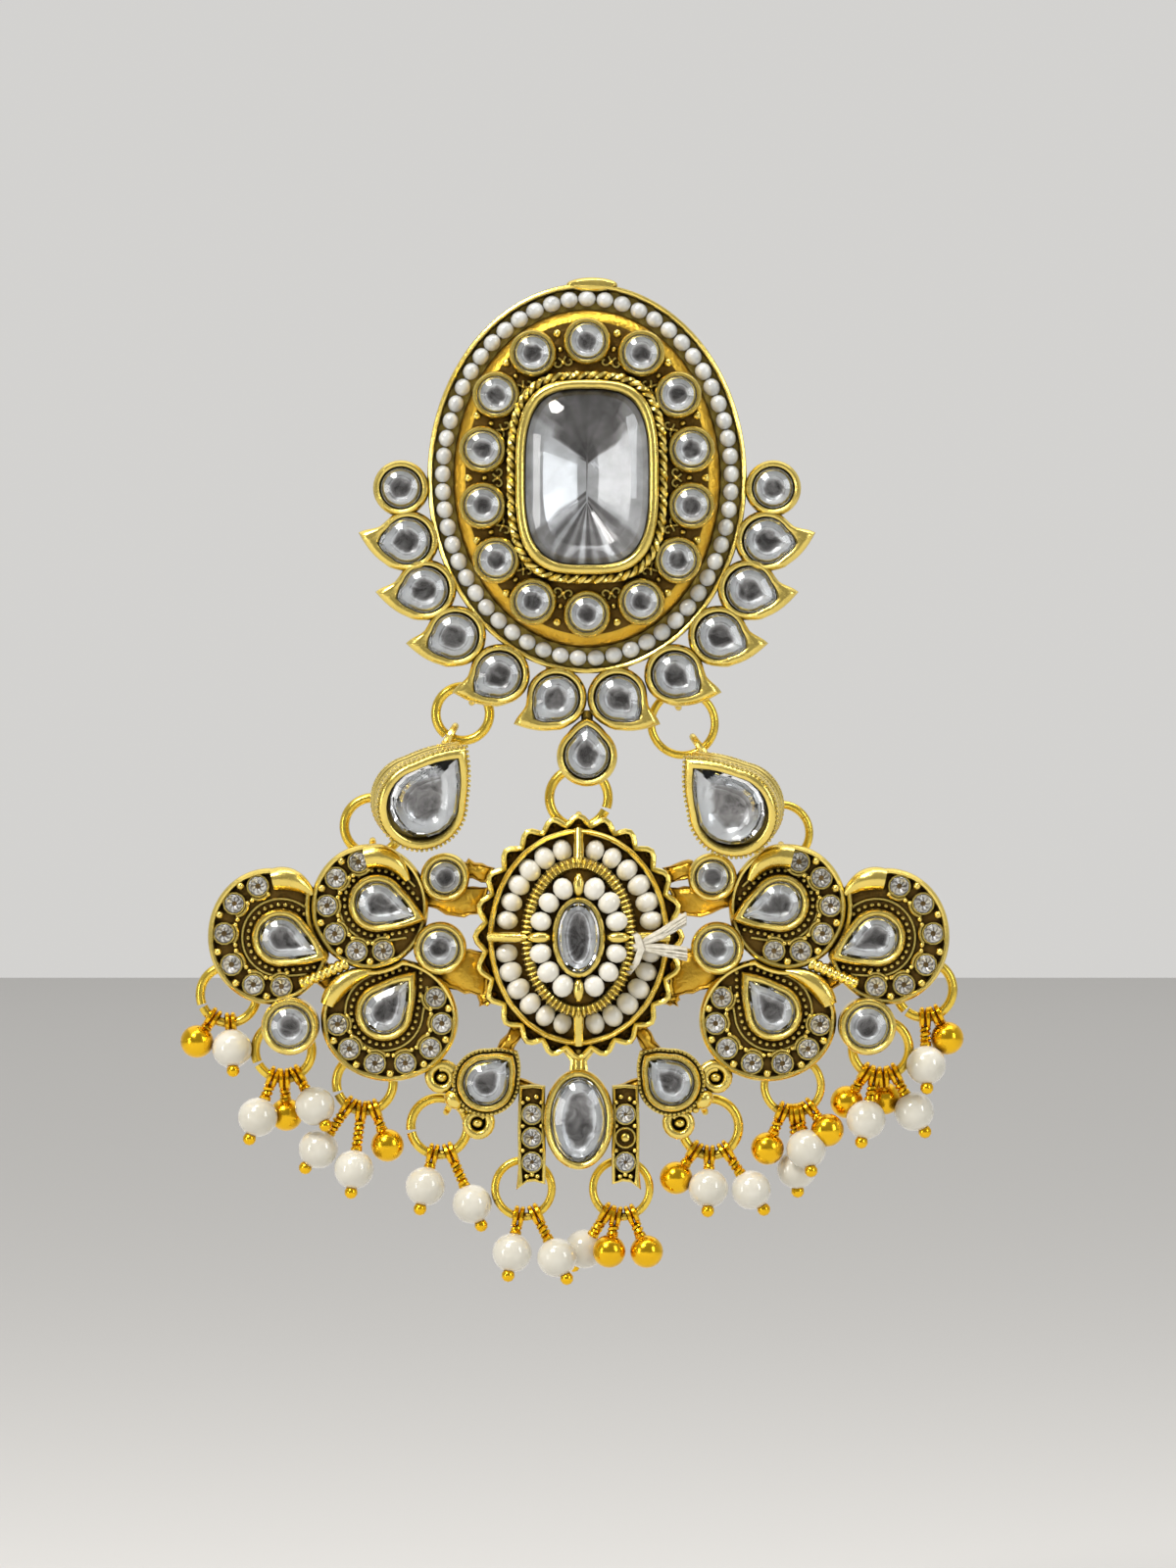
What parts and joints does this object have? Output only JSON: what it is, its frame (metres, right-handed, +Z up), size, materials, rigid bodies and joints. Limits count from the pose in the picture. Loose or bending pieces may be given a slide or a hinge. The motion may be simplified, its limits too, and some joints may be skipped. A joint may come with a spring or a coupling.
{
  "type": "hair bun brooch",
  "caption": "Oval jewelled crest over a wide swinging drop hung with small beads on jump rings, worn in a hair bun on a hidden two-pronged pin.",
  "frame": {"origin": "centre of the crest's flat back face, where its pin holds it against the hair", "axes": "+Z up, +Y towards the wearer, the front faces -Y, +X to the right of the front view"},
  "size_m": [0.08, 0.0136, 0.1013],
  "materials": {
    "antique_gold": "antiqued gilt, dark in the recesses",
    "bright_gold": "polished gilt",
    "gilt_pin": "satin gilt",
    "clear_stone": "cut and foil-backed",
    "ivory_pearl": "pearl lustre"
  },
  "bodies": {
    "crest": {"crest_frame": "antique_gold", "crest_main_stone": "clear_stone", "crest_pearl_row": "ivory_pearl", "hair_pin": "gilt_pin", "fringe_stone_left_round": "clear_stone", "fringe_stone_left_1": "clear_stone", "fringe_stone_left_2": "clear_stone", "fringe_stone_left_3": "clear_stone", "fringe_stone_left_4": "clear_stone", "fringe_stone_left_5": "clear_stone", "fringe_stone_right_round": "clear_stone", "fringe_stone_right_1": "clear_stone", "fringe_stone_right_2": "clear_stone", "fringe_stone_right_3": "clear_stone", "fringe_stone_right_4": "clear_stone", "fringe_stone_right_5": "clear_stone", "fringe_stone_bottom": "clear_stone"},
    "drop": {"drop_frame": "antique_gold", "medallion_outer_beads": "ivory_pearl", "centre_ring": "antique_gold", "drop_stone_upper_left": "clear_stone", "drop_stone_outer_left": "clear_stone", "drop_stone_lower_left": "clear_stone", "drop_stone_round_top_left": "clear_stone", "drop_stone_round_middle_left": "clear_stone", "drop_stone_round_raised_left": "clear_stone", "drop_stone_upper_right": "clear_stone", "drop_stone_outer_right": "clear_stone", "drop_stone_lower_right": "clear_stone", "drop_stone_round_top_right": "clear_stone", "drop_stone_round_middle_right": "clear_stone", "drop_stone_round_raised_right": "clear_stone", "drop_stone_bottom_left": "clear_stone", "drop_stone_bottom_right": "clear_stone", "drop_stone_bottom_oval": "clear_stone", "drop_stone_medallion": "clear_stone", "cluster_far_left": "bright_gold", "cluster_outer_left": "bright_gold", "cluster_wing_left": "bright_gold", "cluster_scroll_left": "bright_gold", "cluster_bar_left": "bright_gold", "cluster_bar_right": "bright_gold", "cluster_scroll_right": "bright_gold", "cluster_wing_right": "bright_gold", "cluster_outer_right": "bright_gold", "cluster_far_right": "bright_gold"},
    "side_links": {"link_setting_left": "antique_gold", "link_setting_right": "antique_gold", "link_stone_left": "clear_stone", "link_stone_right": "clear_stone", "upper_ring_left": "antique_gold", "upper_ring_right": "antique_gold", "lower_ring_left": "antique_gold", "lower_ring_right": "antique_gold"}
  },
  "joints": [
    {"name": "drop_swing", "type": "hinge", "parent": "crest", "child": "drop", "pos_m": [-0.00085, 0.00065, -0.0295], "axis": [1, 0, 0], "range_deg": [-18, 22]},
    {"name": "links_swing", "type": "hinge", "parent": "crest", "child": "side_links", "pos_m": [0, 0.00065, -0.02177], "axis": [1, 0, 0], "range_deg": [-10, 12]}
  ],
  "couplings": [
    {"joint": "links_swing", "follows": "drop_swing", "ratio": 0.525}
  ]
}
